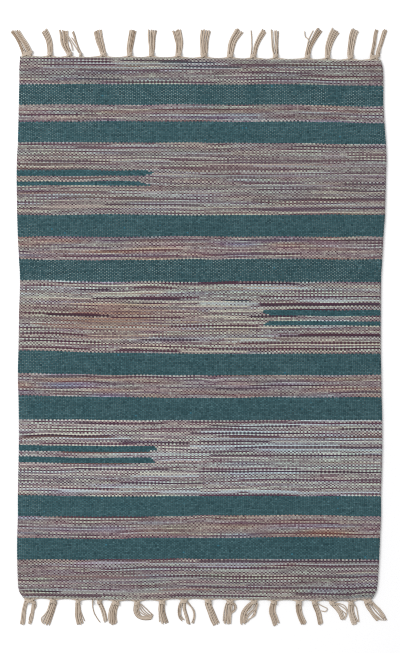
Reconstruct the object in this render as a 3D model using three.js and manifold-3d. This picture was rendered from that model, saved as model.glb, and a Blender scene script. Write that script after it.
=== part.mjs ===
// A small flat-woven cotton kilim rug, lying flat, with knotted fringe on both ends.
// +X runs across the rug, +Y runs along it towards its far end, and +Z is up, off the floor.
// The cloth is one piece. A narrow cream heading runs along each of its ends. The bare warps
// are gathered there into knotted bunches, which lie on the floor and fan out to trimmed tips.

import * as THREE from 'three';
import { mergeVertices } from 'three/addons/utils/BufferGeometryUtils.js';
import Module from 'manifold-3d';

const wasm = await Module();
wasm.setup();

// Driving dimensions, in millimetres
const clothLength = 890;
const clothWidth = 600;
const clothThickness = 4;
const softEdge = 1;
const gap = 0.3;
const headingWidth = 2.4;
const headingThickness = 3;
const knotLength = 7;
const knotHeight = 5;
const knotMargin = 1.2;
const knotSides = 8;
const yarnPitch = 1.75;
const yarnGap = 0.45;
const yarnHeightAtKnot = 2.8;
const yarnHeightAtTip = 1.8;
const trimUnevenness = 1.6;
const trimTurn = 2.4;
const yarnSteps = 4;

const halfLength = clothLength / 2;
const halfWidth = clothWidth / 2;

// Selvedges: at each station along the rug, how far each side stands out past the nominal width
const selvedges = [
  { along: -445, left: -11, right: -18 },
  { along: -437, left: -5, right: -13 },
  { along: -423, left: -0.5, right: -9 },
  { along: -378, left: 1, right: -6 },
  { along: -343, left: 1, right: -4.5 },
  { along: -308, left: 0, right: -3 },
  { along: -275, left: 0, right: -3 },
  { along: -200, left: -1.5, right: -1 },
  { along: -150, left: -1.5, right: -1 },
  { along: -111, left: -1, right: -2 },
  { along: -75, left: 0, right: -2.5 },
  { along: -38, left: -1, right: -3.5 },
  { along: 21, left: -2, right: -3.5 },
  { along: 78, left: -3.5, right: -3 },
  { along: 114, left: -2, right: -1 },
  { along: 151, left: 0, right: 1 },
  { along: 187, left: 1, right: 3.5 },
  { along: 244, left: 2, right: 5 },
  { along: 277, left: 1.5, right: 6 },
  { along: 305, left: 0, right: 5 },
  { along: 340, left: -1, right: 2.5 },
  { along: 368, left: -1.5, right: 1 },
  { along: 402, left: -2.5, right: 1 },
  { along: 428, left: -2.5, right: 0 },
  { along: 445, left: -4, right: -4 },
];

// Ends: at each station across the rug, how far each end stands out past the nominal length
const ends = [
  { across: -270, far: 2.5, near: -1.5 },
  { across: -240, far: 2, near: -1 },
  { across: -180, far: 1.5, near: 0.5 },
  { across: -112, far: 1.5, near: 2 },
  { across: -50, far: 1, near: 0 },
  { across: -20, far: 0.5, near: -1 },
  { across: 80, far: -1, near: 0.5 },
  { across: 180, far: -2, near: 1.5 },
  { across: 245, far: -3, near: 2.5 },
];
const endCorners = {
  far: { left: 2.5, right: -3 },
  near: { left: -1.5, right: -1 },
};

// Bunches of warp ends, a row for each leg. A root is a place across the rug, and a bend or tip is
// a place across and a distance outwards from the cloth's nominal end. Widths are the leg's own.
const farLegs = [
  { bunch: 'tassel_01', root: -291, width: 5.6, bend: [-297, 24], tip: [-311, 45], tipWidth: 5.6 },
  { bunch: 'tassel_01', root: -279, width: 7, bend: [-287, 24], tip: [-301, 46.5], tipWidth: 7 },
  { bunch: 'tassel_02', root: -247, width: 8, bend: [-248, 25], tip: [-257, 47], tipWidth: 11 },
  { bunch: 'tassel_03', root: -215, width: 9, bend: [-223, 24], tip: [-225, 46.5], tipWidth: 17 },
  { bunch: 'stray', root: -197, width: 4, bend: [-203, 24], tip: [-211, 44.5], tipWidth: 4.4 },
  { bunch: 'tassel_04', root: -159, width: 10, bend: [-165, 25], tip: [-169, 46.5], tipWidth: 15 },
  { bunch: 'tassel_05', root: -116, width: 8, bend: [-115, 25], tip: [-110, 47], tipWidth: 11.5 },
  { bunch: 'tassel_06', root: -80, width: 8, bend: [-80, 27], tip: [-79, 47], tipWidth: 16 },
  { bunch: 'tassel_07', root: -36, width: 10, bend: [-35, 27], tip: [-39, 47], tipWidth: 17 },
  { bunch: 'tassel_08', root: 6, width: 10, bend: [7, 27], tip: [9, 47], tipWidth: 16 },
  { bunch: 'tassel_09', root: 49, width: 10, bend: [53, 25], tip: [65, 46.5], tipWidth: 16 },
  { bunch: 'tassel_10', root: 83, width: 1.8, bend: [85, 28], tip: [83, 45.5], tipWidth: 1.8 },
  { bunch: 'tassel_10', root: 88, width: 7, bend: [94, 25], tip: [105.5, 46.5], tipWidth: 10 },
  { bunch: 'tassel_11', root: 121.5, width: 3.6, bend: [118, 25], tip: [117, 47], tipWidth: 4.4 },
  { bunch: 'tassel_11', root: 126, width: 3.6, bend: [126, 25], tip: [126, 46.5], tipWidth: 4.6 },
  { bunch: 'tassel_12', root: 172.5, width: 1.8, bend: [177, 25], tip: [186, 46.5], tipWidth: 3.2 },
  { bunch: 'tassel_12', root: 177.5, width: 6.6, bend: [184, 25], tip: [198, 46.5], tipWidth: 10.6 },
  { bunch: 'tassel_13', root: 209, width: 7.6, bend: [213, 27], tip: [223, 46.5], tipWidth: 16 },
  { bunch: 'tassel_14', root: 247, width: 9, bend: [249, 27], tip: [256, 47], tipWidth: 13 },
  { bunch: 'tassel_15', root: 281.5, width: 6.6, bend: [286, 27], tip: [290, 47], tipWidth: 6.6 },
  { bunch: 'tassel_15', root: 291, width: 6.6, bend: [296, 23], tip: [304.5, 47], tipWidth: 7.6 },
];
const nearLegs = [
  { bunch: 'tassel_01', root: -286, width: 6.6, bend: [-290, 21], tip: [-293, 42.5], tipWidth: 8 },
  { bunch: 'tassel_01', root: -273, width: 5, bend: [-276, 21], tip: [-280, 42], tipWidth: 6 },
  { bunch: 'tassel_02', root: -242, width: 11, bend: [-246, 20], tip: [-256, 42], tipWidth: 14 },
  { bunch: 'tassel_03', root: -201, width: 7.6, bend: [-201, 21], tip: [-197, 42.5], tipWidth: 12.4 },
  { bunch: 'stray', root: -177, width: 2, bend: [-174, 23], tip: [-164, 39.5], tipWidth: 2 },
  { bunch: 'tassel_04', root: -166, width: 7, bend: [-160, 21], tip: [-155, 38], tipWidth: 6 },
  { bunch: 'tassel_05', root: -139, width: 12, bend: [-144, 21], tip: [-143, 42], tipWidth: 13 },
  { bunch: 'tassel_06', root: -104, width: 9, bend: [-101, 28.5], tip: [-78, 28.5], tipWidth: 8 },
  { bunch: 'tassel_07', root: -63, width: 11, bend: [-63, 20], tip: [-58, 41], tipWidth: 14 },
  { bunch: 'tassel_08', root: -32, width: 1.8, bend: [-36, 20], tip: [-30, 33.5], tipWidth: 1.8 },
  { bunch: 'tassel_08', root: -27, width: 5, bend: [-25, 21], tip: [-18.5, 42.5], tipWidth: 5 },
  { bunch: 'tassel_08', root: -22, width: 1.8, bend: [-11, 20], tip: [-11, 40], tipWidth: 1.8 },
  { bunch: 'tassel_09', root: 13, width: 11, bend: [17.5, 21], tip: [28, 42], tipWidth: 12 },
  { bunch: 'tassel_10', root: 49, width: 12, bend: [46, 20], tip: [44, 42], tipWidth: 13 },
  { bunch: 'tassel_11', root: 86.5, width: 7, bend: [73, 20], tip: [71, 42], tipWidth: 9 },
  { bunch: 'tassel_11', root: 92.5, width: 1.8, bend: [89, 21], tip: [80, 34], tipWidth: 1.8 },
  { bunch: 'tassel_12', root: 121, width: 10, bend: [119, 21], tip: [126, 42.5], tipWidth: 13 },
  { bunch: 'tassel_13', root: 162, width: 10, bend: [163, 21], tip: [171, 42.5], tipWidth: 10 },
  { bunch: 'tassel_14', root: 188, width: 9, bend: [193, 20], tip: [199, 42.5], tipWidth: 7.6 },
  { bunch: 'tassel_15', root: 217, width: 10, bend: [227, 18], tip: [235, 34], tipWidth: 7 },
  { bunch: 'tassel_16', root: 248, width: 9, bend: [248.5, 21], tip: [255.5, 42.5], tipWidth: 12 },
  { bunch: 'tassel_17', root: 272, width: 6, bend: [280, 20], tip: [293, 34.5], tipWidth: 6 },
  { bunch: 'tassel_17', root: 280, width: 6, bend: [291, 15], tip: [303, 31], tipWidth: 6.6 },
];

const clothFinish = { color: 0x6b7072, roughness: 0.95, metalness: 0 };
const creamYarnFinish = { color: 0xc8b496, roughness: 0.9, metalness: 0 };

// Each end of the cloth is a smooth curve from its left corner to its right one
function endCurve(end) {
  const sign = end === 'far' ? 1 : -1;
  const station = end === 'far' ? selvedges[selvedges.length - 1] : selvedges[0];
  const points = [new THREE.Vector2(-halfWidth - station.left, sign * (halfLength + endCorners[end].left))];
  for (const row of ends) {
    points.push(new THREE.Vector2(row.across, sign * (halfLength + row[end])));
  }
  points.push(new THREE.Vector2(halfWidth + station.right, sign * (halfLength + endCorners[end].right)));
  return new THREE.SplineCurve(points);
}

// The outline between the corners of one side, from the near end to the far end
function selvedgePoints(side) {
  const sign = side === 'right' ? 1 : -1;
  const inner = selvedges.slice(1, -1);
  return inner.map((row) => new THREE.Vector2(sign * (halfWidth + row[side]), row.along));
}

const stepsAcross = 30;
const stepsAlong = 48;

function makeCloth() {
  const near = endCurve('near').getPoints(stepsAcross);
  const far = endCurve('far').getPoints(stepsAcross);
  const right = new THREE.SplineCurve([near[stepsAcross], ...selvedgePoints('right'), far[stepsAcross]]);
  const left = new THREE.SplineCurve([near[0], ...selvedgePoints('left'), far[0]]);
  const outline = [
    ...near,
    ...right.getPoints(stepsAlong).slice(1, -1),
    ...far.reverse(),
    ...left.getPoints(stepsAlong).slice(1, -1).reverse(),
  ];
  return new THREE.ExtrudeGeometry(new THREE.Shape(outline), {
    depth: clothThickness - 2 * softEdge,
    bevelThickness: softEdge,
    bevelSize: softEdge,
    bevelOffset: -softEdge,
    bevelSegments: 1,
  }).translate(0, 0, softEdge);
}

// The heading follows the cloth's end, a gap away from it
function makeHeading(end) {
  const sign = end === 'far' ? 1 : -1;
  const edge = endCurve(end).getPoints(stepsAcross);
  const shifted = (out) => edge.map((point) => new THREE.Vector2(point.x, point.y + sign * out));
  const outline = [...shifted(gap), ...shifted(gap + headingWidth).reverse()];
  return new THREE.ExtrudeGeometry(new THREE.Shape(outline), {
    depth: headingThickness,
    bevelEnabled: false,
  });
}

// Where the heading's outer edge lies, outwards from the cloth's nominal end
function headingOut(end, across) {
  const edge = endCurve(end).getPoints(stepsAcross);
  const after = edge.findIndex((point, index) => index > 0 && point.x >= across);
  const before = edge[after - 1];
  const share = (across - before.x) / (edge[after].x - before.x);
  const edgeOut = Math.abs(THREE.MathUtils.lerp(before.y, edge[after].y, share)) - halfLength;
  return edgeOut + gap + headingWidth;
}

// A knot is a low dome on a flat foot, as wide as the roots of its legs
function makeKnot(legs, knotOut) {
  const low = Math.min(...legs.map((leg) => leg.root - leg.width / 2)) - knotMargin;
  const high = Math.max(...legs.map((leg) => leg.root + leg.width / 2)) + knotMargin;
  const dome = [[0, 0], [1, 0], [0.95, 0.45], [0.6, 0.9], [0, 1]];
  const profile = dome.map(([radius, height]) => new THREE.Vector2(radius, height));
  return new THREE.LatheGeometry(profile, knotSides)
    .rotateX(Math.PI / 2)
    .scale((high - low) / 2, knotLength / 2, knotHeight)
    .translate((low + high) / 2, knotOut, 0);
}

// A yarn has three sides: a flat foot on the floor and a ridge, lower towards the trimmed tip.
// The yarns of a leg start in a line across the knot and turn square to the leg towards its tip.
function makeYarn(leg, share, pitchShare, knotOut, trim) {
  const root = new THREE.Vector2(leg.root, knotOut);
  const tip = new THREE.Vector2(...leg.tip);
  const control = new THREE.Vector2(...leg.bend).multiplyScalar(2)
    .addScaledVector(root, -0.5)
    .addScaledVector(tip, -0.5);
  const route = new THREE.QuadraticBezierCurve(root, control, tip);
  const positions = [];
  for (let step = 0; step <= yarnSteps; step += 1) {
    const along = (step / yarnSteps) * (1 - trim / route.getLength());
    const point = route.getPoint(along);
    const direction = route.getTangent(along);
    const legWidth = THREE.MathUtils.lerp(leg.width, leg.tipWidth, along);
    const widthways = new THREE.Vector2(1, 0).lerp(new THREE.Vector2(direction.y, -direction.x), along);
    const middle = widthways.clone().multiplyScalar(share * legWidth).add(point);
    const side = widthways.clone().multiplyScalar((pitchShare * legWidth - yarnGap) / 2);
    const height = THREE.MathUtils.lerp(yarnHeightAtKnot, yarnHeightAtTip, along);
    positions.push(middle.x - side.x, middle.y - side.y, 0);
    positions.push(middle.x + side.x, middle.y + side.y, 0);
    positions.push(middle.x, middle.y, height);
  }
  const faces = [0, 1, 2];
  for (let step = 0; step < yarnSteps; step += 1) {
    for (let corner = 0; corner < 3; corner += 1) {
      const here = step * 3 + corner;
      const next = step * 3 + ((corner + 1) % 3);
      faces.push(here, here + 3, next + 3, here, next + 3, next);
    }
  }
  const last = yarnSteps * 3;
  faces.push(last, last + 2, last + 1);
  const yarn = new THREE.BufferGeometry();
  yarn.setAttribute('position', new THREE.Float32BufferAttribute(positions, 3));
  yarn.setIndex(faces);
  return yarn;
}

function toSolid(geometry) {
  const bare = geometry.clone();
  bare.deleteAttribute('normal');
  bare.deleteAttribute('uv');
  const merged = mergeVertices(bare, 1e-4);
  const faceCorners = Array.from(merged.index.array);
  const faces = [];
  for (let start = 0; start < faceCorners.length; start += 3) {
    const face = faceCorners.slice(start, start + 3);
    if (new Set(face).size === 3) {
      faces.push(...face);
    }
  }
  return new wasm.Manifold(new wasm.Mesh({
    numProp: 3,
    vertProperties: new Float32Array(merged.attributes.position.array),
    triVerts: new Uint32Array(faces),
  }));
}

function toGeometry(solid) {
  const mesh = solid.getMesh();
  const geometry = new THREE.BufferGeometry();
  geometry.setAttribute('position', new THREE.BufferAttribute(new Float32Array(mesh.vertProperties), 3));
  geometry.setIndex(new THREE.BufferAttribute(new Uint32Array(mesh.triVerts), 1));
  geometry.computeVertexNormals();
  return geometry;
}

// A bunch is its knot with the yarns of all its legs joined to it, drawn with +Y pointing outwards
function makeBunch(end, rows) {
  const middle = rows.reduce((sum, row) => sum + row.root, 0) / rows.length;
  const knotOut = headingOut(end, middle) + gap + knotLength / 2;
  const turn = end === 'far' ? 1 : -1;
  const legs = rows.map((row) => ({
    ...row,
    root: turn * row.root,
    bend: [turn * row.bend[0], row.bend[1]],
    tip: [turn * row.tip[0], row.tip[1]],
  }));
  let solid = toSolid(makeKnot(legs, knotOut));
  for (const leg of legs) {
    const count = Math.max(1, Math.round((leg.width + leg.tipWidth) / 2 / yarnPitch));
    for (let index = 0; index < count; index += 1) {
      const share = (index + 0.5) / count - 0.5;
      const trim = trimUnevenness * (0.5 + 0.5 * Math.sin(trimTurn * index + leg.root));
      solid = solid.add(toSolid(makeYarn(leg, share, 1 / count, knotOut, trim)));
    }
  }
  return toGeometry(solid);
}

const rug = new THREE.Group();

function addPiece(name, geometry, finish) {
  const piece = new THREE.Mesh(geometry, new THREE.MeshStandardMaterial(finish));
  piece.name = name;
  rug.add(piece);
  return piece;
}

addPiece('field', makeCloth(), clothFinish);
addPiece('far_heading', makeHeading('far'), creamYarnFinish);
addPiece('near_heading', makeHeading('near'), creamYarnFinish);

function addFringe(end, rows, turn, endLine) {
  const bunches = new Set(rows.map((row) => row.bunch));
  for (const bunch of bunches) {
    const geometry = makeBunch(end, rows.filter((row) => row.bunch === bunch));
    const piece = addPiece(`${end}_${bunch}`, geometry, creamYarnFinish);
    piece.rotation.z = turn;
    piece.position.y = endLine;
  }
}

addFringe('far', farLegs, 0, halfLength);
addFringe('near', nearLegs, Math.PI, -halfLength);

// The rug's middle is the middle of all that lies on the floor, fringe included
rug.updateMatrixWorld(true);
const middle = new THREE.Box3().setFromObject(rug, true).getCenter(new THREE.Vector3());
rug.position.set(-middle.x, -middle.y, 0);

export default rug;
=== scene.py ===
# A small flat-woven cotton kilim rug with knotted fringe, laid flat and seen from straight above.
# The sizes are in metres, or in millimetres times MM. +X runs across the rug and +Y along it.

import collections
import functools
import math

import bpy
import numpy as np
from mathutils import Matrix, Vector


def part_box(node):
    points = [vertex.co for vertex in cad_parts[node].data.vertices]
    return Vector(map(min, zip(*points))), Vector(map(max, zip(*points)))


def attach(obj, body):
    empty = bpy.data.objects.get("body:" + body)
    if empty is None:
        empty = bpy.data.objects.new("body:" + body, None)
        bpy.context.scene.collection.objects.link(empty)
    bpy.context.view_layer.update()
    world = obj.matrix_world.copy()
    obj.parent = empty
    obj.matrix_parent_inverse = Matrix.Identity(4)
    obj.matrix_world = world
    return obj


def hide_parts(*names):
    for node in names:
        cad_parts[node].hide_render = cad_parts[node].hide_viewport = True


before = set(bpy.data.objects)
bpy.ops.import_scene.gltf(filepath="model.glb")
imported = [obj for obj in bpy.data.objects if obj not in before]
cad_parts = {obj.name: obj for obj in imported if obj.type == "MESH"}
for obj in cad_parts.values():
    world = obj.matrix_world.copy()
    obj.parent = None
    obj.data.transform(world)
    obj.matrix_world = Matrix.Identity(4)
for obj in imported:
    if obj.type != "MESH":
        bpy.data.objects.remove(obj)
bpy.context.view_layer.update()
scene = bpy.context.scene

# Camera
# The rug is photographed from straight above, square to its length. One pixel of the photograph
# covers 1.645 mm of the floor, and the rug's middle lies beside the picture's own middle.
MM = 0.001
PIXEL = 1.645 * MM
PICTURE_WIDTH = 400
PICTURE_HEIGHT = 653
RUG_MIDDLE_COLUMN = 198.59
RUG_MIDDLE_ROW = 326.52
CAMERA_HEIGHT = 3.0
SENSOR = 36.0


def across_at(column):
    return (column - RUG_MIDDLE_COLUMN) * PIXEL


def along_at(row):
    return (RUG_MIDDLE_ROW - row) * PIXEL


def add_object(name, data):
    made = bpy.data.objects.new(name, data)
    scene.collection.objects.link(made)
    return made


camera_data = bpy.data.cameras.new("camera")
camera_data.sensor_width = SENSOR
camera_data.lens = SENSOR * CAMERA_HEIGHT / (PICTURE_HEIGHT * PIXEL)
camera = add_object("camera", camera_data)
camera.location = (across_at(PICTURE_WIDTH / 2), along_at(PICTURE_HEIGHT / 2), CAMERA_HEIGHT)
scene.camera = camera

# Floor and light
# The floor is a plain pale sheet. One broad lamp stands high on the left, beyond the far end, and
# the room's even light fills its shadows.
FLOOR_SIDE = 8.0
FLOOR_COLOUR = (0.9, 0.9, 0.905, 1.0)
ROOM_COLOUR = (1.0, 1.0, 1.0, 1.0)
ROOM_STRENGTH = 0.72
LAMP_PLACE = (-2.9, 1.5, 3.2)
LAMP_SIDE = 2.4
LAMP_POWER = 152.0
PIXEL_SOFTNESS = 0.9


def new_material(name):
    """A new material, its node tree and its shader."""
    made = bpy.data.materials.new(name)
    made.use_nodes = True
    return made, made.node_tree, made.node_tree.nodes["Principled BSDF"]


def set_inputs(node, values):
    for name, value in values.items():
        node.inputs[name].default_value = value


bpy.ops.mesh.primitive_plane_add(size=FLOOR_SIDE)
floor = bpy.context.object
floor.name = "floor"
floor_material, _, shader = new_material("pale floor")
set_inputs(shader, {"Base Color": FLOOR_COLOUR, "Roughness": 0.9, "Specular IOR Level": 0.1})
floor.data.materials.append(floor_material)

world = bpy.data.worlds.new("room")
world.use_nodes = True
set_inputs(world.node_tree.nodes["Background"], {"Color": ROOM_COLOUR, "Strength": ROOM_STRENGTH})
scene.world = world

lamp_data = bpy.data.lights.new("lamp", "AREA")
lamp_data.shape = "DISK"
lamp_data.size = LAMP_SIDE
lamp_data.energy = LAMP_POWER
lamp = add_object("lamp", lamp_data)
lamp.location = LAMP_PLACE
lamp.rotation_euler = (-lamp.location).to_track_quat("-Z", "Y").to_euler()

scene.view_settings.view_transform = "Standard"
scene.cycles.filter_width = PIXEL_SOFTNESS
scene.cycles.use_denoising = False

# Field: the cloth's outline
# The cloth is one flat weft-faced piece, 600 by 890 mm. Its selvedges wander by up to 18 mm and its
# ends are a little skewed, as the photograph shows, by the same readings as the solid.
CLOTH_LENGTH = 890 * MM
CLOTH_WIDTH = 600 * MM

# along, how far the left side stands out past the nominal width, and the right side, in mm
SELVEDGES = [
    (-445, -11, -18), (-437, -5, -13), (-423, -0.5, -9), (-378, 1, -6), (-343, 1, -4.5), (-308, 0, -3),
    (-275, 0, -3), (-200, -1.5, -1), (-150, -1.5, -1), (-111, -1, -2), (-75, 0, -2.5), (-38, -1, -3.5),
    (21, -2, -3.5), (78, -3.5, -3), (114, -2, -1), (151, 0, 1), (187, 1, 3.5), (244, 2, 5), (277, 1.5, 6),
    (305, 0, 5), (340, -1, 2.5), (368, -1.5, 1), (402, -2.5, 1), (428, -2.5, 0), (445, -4, -4),
]

# across, how far the far end stands out past the nominal length, and the near end, in mm
ENDS = [
    (-270, 2.5, -1.5), (-240, 2, -1), (-180, 1.5, 0.5), (-112, 1.5, 2), (-50, 1, 0), (-20, 0.5, -1),
    (80, -1, 0.5), (180, -2, 1.5), (245, -3, 2.5),
]
FAR_CORNERS = (2.5, -3)
NEAR_CORNERS = (-1.5, -1)


def smooth_line(points, steps=60):
    """Points along a smooth line that passes through every station."""
    stations = np.array(points, float)
    padded = np.vstack([stations[:1], stations, stations[-1:]])
    share = np.linspace(0, 1, steps, endpoint=False)[:, None]
    line = []
    for index in range(len(stations) - 1):
        before, here, there, after = padded[index : index + 4]
        leaving = (there - before) / 2
        arriving = (after - here) / 2
        cubic = 2 * here - 2 * there + leaving + arriving
        square = -3 * here + 3 * there - 2 * leaving - arriving
        line.append(cubic * share**3 + square * share**2 + leaving * share + here)
    return np.vstack(line + [stations[-1:]])


def end_line(sign, corners, reach):
    """The cloth's far or near end, from its left corner to its right one."""
    station = SELVEDGES[-1] if sign > 0 else SELVEDGES[0]
    half_width = CLOTH_WIDTH / 2
    half_length = CLOTH_LENGTH / 2
    points = [(-half_width - station[1] * MM, sign * (half_length + corners[0] * MM))]
    points += [(row[0] * MM, sign * (half_length + row[reach] * MM)) for row in ENDS]
    points += [(half_width + station[2] * MM, sign * (half_length + corners[1] * MM))]
    return smooth_line(points)


def side_line(sign, reach, near_corner, far_corner):
    """The cloth's left or right side, from its near corner to its far one."""
    inner = [(sign * (CLOTH_WIDTH / 2 + row[reach] * MM), row[0] * MM) for row in SELVEDGES[1:-1]]
    return smooth_line([near_corner, *inner, far_corner])


far_line = end_line(1, FAR_CORNERS, 1)
near_line = end_line(-1, NEAR_CORNERS, 2)
left_line = side_line(-1, 1, near_line[0], far_line[0])
right_line = side_line(1, 2, near_line[-1], far_line[-1])

# The solid stands centred on all that lies on the floor, and the cloth takes its place from it
outline = np.vstack([far_line, near_line, left_line, right_line])
field_low, field_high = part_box("field")
field_middle = np.array([field_low.x + field_high.x, field_low.y + field_high.y]) / 2
RUG_SHIFT = field_middle - (outline.min(axis=0) + outline.max(axis=0)) / 2


def cloth_x(column):
    return across_at(column) - RUG_SHIFT[0]


def cloth_y(row):
    return along_at(row) - RUG_SHIFT[1]


def end_at(sign, x):
    """How far along the cloth its far or near end lies."""
    line = far_line if sign > 0 else near_line
    return np.interp(x, line[:, 0], line[:, 1])


def side_at(sign, y):
    """How far across the cloth its right or left side lies."""
    line = right_line if sign > 0 else left_line
    return np.interp(y, line[:, 1], line[:, 0])


# Field: the picks
# Cotton wefts, beaten down hard, hide the warps. A band is a count of picks, and each of its edges
# wanders a little as the beater was pulled unevenly.
WARPS = 197

# picks, weft, and the rows of the photograph where the band starts, at five columns across
BAND_COLUMNS = (35, 102, 190, 295, 360)
BANDS = [
    (19, "mottled far end", None),
    (15, "teal", (84.5, 84.6, 84.6, 84.9, 85.7)),
    (12, "mottled narrow", (104.7, 104.5, 104.7, 104.9, 106.6)),
    (16, "teal", (121.8, 121.5, 121.6, 121.9, 123.3)),
    (52, "mottled first", (142.3, 142.5, 142.7, 143.4, 144.2)),
    (16, "teal", (215.3, 214.7, 215.6, 215.3, 214.5)),
    (16, "mottled narrow", (236.6, 236.6, 236.6, 236.6, 236.8)),
    (16, "teal", (259.5, 260.4, 259.5, 258.8, 259.4)),
    (51, "mottled middle", (280.2, 281.6, 281.6, 281.6, 282.2)),
    (15, "teal", (350.6, 352.8, 353.6, 353.9, 353.5)),
    (16, "mottled narrow", (373.2, 374.6, 375.0, 375.0, 374.7)),
    (17, "teal", (395.4, 397.4, 397.7, 397.3, 397.4)),
    (55, "mottled last", (419.3, 419.7, 420.0, 420.0, 420.0)),
    (15, "teal", (495.4, 496.4, 495.9, 495.6, 495.9)),
    (15, "mottled narrow", (515.6, 516.4, 515.9, 514.6, 515.9)),
    (15, "teal", (537.3, 538.6, 537.8, 537.0, 537.4)),
    (29, "mottled near end", (559.4, 559.0, 558.6, 558.6, 559.5)),
]

# Where the picks bow aside: the photograph's column and row, how many columns the bow takes to
# rise and to fall, its height in rows, and how many rows it moves the picks down the picture
BOWS = [
    (208, 171.5, 26, 130, 3.2, 2.2), (198, 183.5, 25, 90, 2.6, 1.1), (245, 312, 25, 14, 3.0, 1.0),
    (240, 323, 30, 16, 3.0, -1.1), (186, 450, 14, 60, 3.5, 1.2), (180, 460, 16, 50, 3.0, -1.0),
    (208, 246, 13, 12, 4.0, -1.4), (214, 256, 12, 12, 3.2, 1.3), (213, 379, 9, 8, 4.0, 1.6),
    (206, 519, 14, 12, 4.0, -1.6), (108, 567, 24, 22, 3.0, 1.3), (212, 428, 18, 20, 3.0, -1.0),
    (60, 332, 22, 20, 3.5, -1.2), (35, 250, 10, 16, 5.0, 1.0),
]

# Picks wander together and jostle singly, and warps jitter and drift. Steps are the picks and the
# warps from one lump of such an unevenness to the next.
WANDER = 0.5 * MM
WANDER_STEPS = (8, 17)
JOSTLE = 0.16 * MM
JOSTLE_STEPS = (1.5, 8)
WARP_JITTER = 0.25 * MM
JITTER_STEPS = (14, 1.5)
WARP_DRIFT = 0.55 * MM
DRIFT_STEPS = (45, 5)
CALM_PICKS = 8
CALM_WARPS = 6
SELVEDGE_INSET = 1.3 * MM

draw = np.random.default_rng(41)
kinds = np.repeat([band[1] for band in BANDS], [band[0] for band in BANDS])
PICKS = len(kinds)
pick_number = np.arange(PICKS)
warp_number = np.arange(WARPS)
warp_share = warp_number / (WARPS - 1)
straight_x = (warp_share - 0.5) * CLOTH_WIDTH


def soft_noise(pick_step, warp_step):
    """Soft noise over all crossings, its lumps so many picks and warps apart."""
    coarse = draw.normal(size=(int(PICKS / pick_step) + 2, int(WARPS / warp_step) + 2))
    down = pick_number / pick_step
    along = warp_number / warp_step
    pick = down.astype(int)
    warp = along.astype(int)
    down = down - pick
    along = along - warp
    down = (down * down * (3 - 2 * down))[:, None]
    along = (along * along * (3 - 2 * along))[None, :]
    above = coarse[pick][:, warp] * (1 - along) + coarse[pick][:, warp + 1] * along
    below = coarse[pick + 1][:, warp] * (1 - along) + coarse[pick + 1][:, warp + 1] * along
    return above * (1 - down) + below * down


band_starts = np.cumsum([0] + [band[0] for band in BANDS])
band_x = cloth_x(np.array(BAND_COLUMNS))
edge_y = [end_at(1, straight_x)]
edge_y += [np.interp(straight_x, band_x, cloth_y(np.array(band[2]))) for band in BANDS[1:]]
edge_y = np.array([*edge_y, end_at(-1, straight_x)])

pick_y = np.array([np.interp(pick_number, band_starts - 0.5, edge_y[:, i]) for i in warp_number]).T
from_end = np.minimum(pick_number, PICKS - 1 - pick_number)
calm_ends = np.clip(from_end / CALM_PICKS, 0, 1)[:, None]
pick_y += WANDER * soft_noise(*WANDER_STEPS) * calm_ends
pick_y += JOSTLE * soft_noise(*JOSTLE_STEPS) * calm_ends
for column, row, rise, fall, height, shift in BOWS:
    off_x = straight_x[None, :] - cloth_x(column)
    off_y = pick_y - cloth_y(row)
    reach = np.where(off_x < 0, rise, fall) * PIXEL
    strength = np.exp(-((off_x / reach) ** 2) - (off_y / (height * PIXEL)) ** 2)
    pick_y -= shift * PIXEL * strength * calm_ends

inner_left = side_at(-1, pick_y) + SELVEDGE_INSET
inner_right = side_at(1, pick_y) - SELVEDGE_INSET
pick_x = inner_left + (inner_right - inner_left) * warp_share[None, :]
pick_x[:, 1:-1] += WARP_JITTER * soft_noise(*JITTER_STEPS)[:, 1:-1]
drift = WARP_DRIFT * soft_noise(*DRIFT_STEPS)
pick_x += drift * np.minimum(1, np.minimum(warp_number, WARPS - 1 - warp_number) / CALM_WARPS)

# Field: the wefts
# A mottled pick is a soft yarn of changing colours, dark and pale lengths in turn, so the cloth
# shows long streaks. Teal picks are plain, and six short teal bars are woven in from the sides.
# A colour is its shares of red, green and blue on a screen, from 0 to 255.
YARNS = {
    "teal": (48, 84, 91),
    "bare warp": (164, 176, 174),
    "bright fleck": (40, 116, 140),
    "plum": (77, 48, 63),
    "aubergine": (61, 42, 57),
    "brown": (88, 64, 62),
    "slate": (57, 60, 70),
    "cream": (187, 184, 172),
    "ice": (175, 183, 185),
    "green grey": (176, 181, 171),
    "lavender": (174, 171, 182),
    "tan": (182, 167, 150),
    "pink tan": (181, 169, 162),
    "rust": (138, 106, 95),
}
DARK_YARNS = ("slate", "aubergine", "plum", "plum", "brown")
PALE_YARNS = ("lavender", "ice", "green grey", "cream", "pink tan")

# lift, contrast, how far its hue strays towards pink and towards tan, how plainly its long runs
# show, and the shares of red, green and blue
MOTTLES = {
    "mottled far end": (-7, 1.0, 1.5, 1.5, 0.7, (0.99, 1.005, 1.005)),
    "mottled near end": (-6, 1.03, 1.5, 1.5, 0.75, (0.995, 1.0, 1.005)),
    "mottled narrow": (-7, 1.02, 1.5, 4.5, 0.65, (1.015, 0.98, 0.985)),
    "mottled first": (-6, 1.0, 1, 1.5, 0.6, (1.0, 1.0, 0.995)),
    "mottled middle": (-1, 1.15, 1, 1.5, 0.85, (1.005, 0.998, 0.99)),
    "mottled last": (6, 1.18, 1, 1.5, 0.78, (0.99, 1.0, 1.008)),
}

# first pick, then the column of the photograph where each pick of the bar turns back, and its side
BARS = [
    (82, (148, 153, 151, 145), "left"),
    (90, (140, 144, 149), "left"),
    (182, (265, 264, 267, 271), "right"),
    (190, (271, 266, 264), "right"),
    (280, (154, 157, 157, 150), "left"),
    (288, (151, 152, 153, 154), "left"),
]

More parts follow.
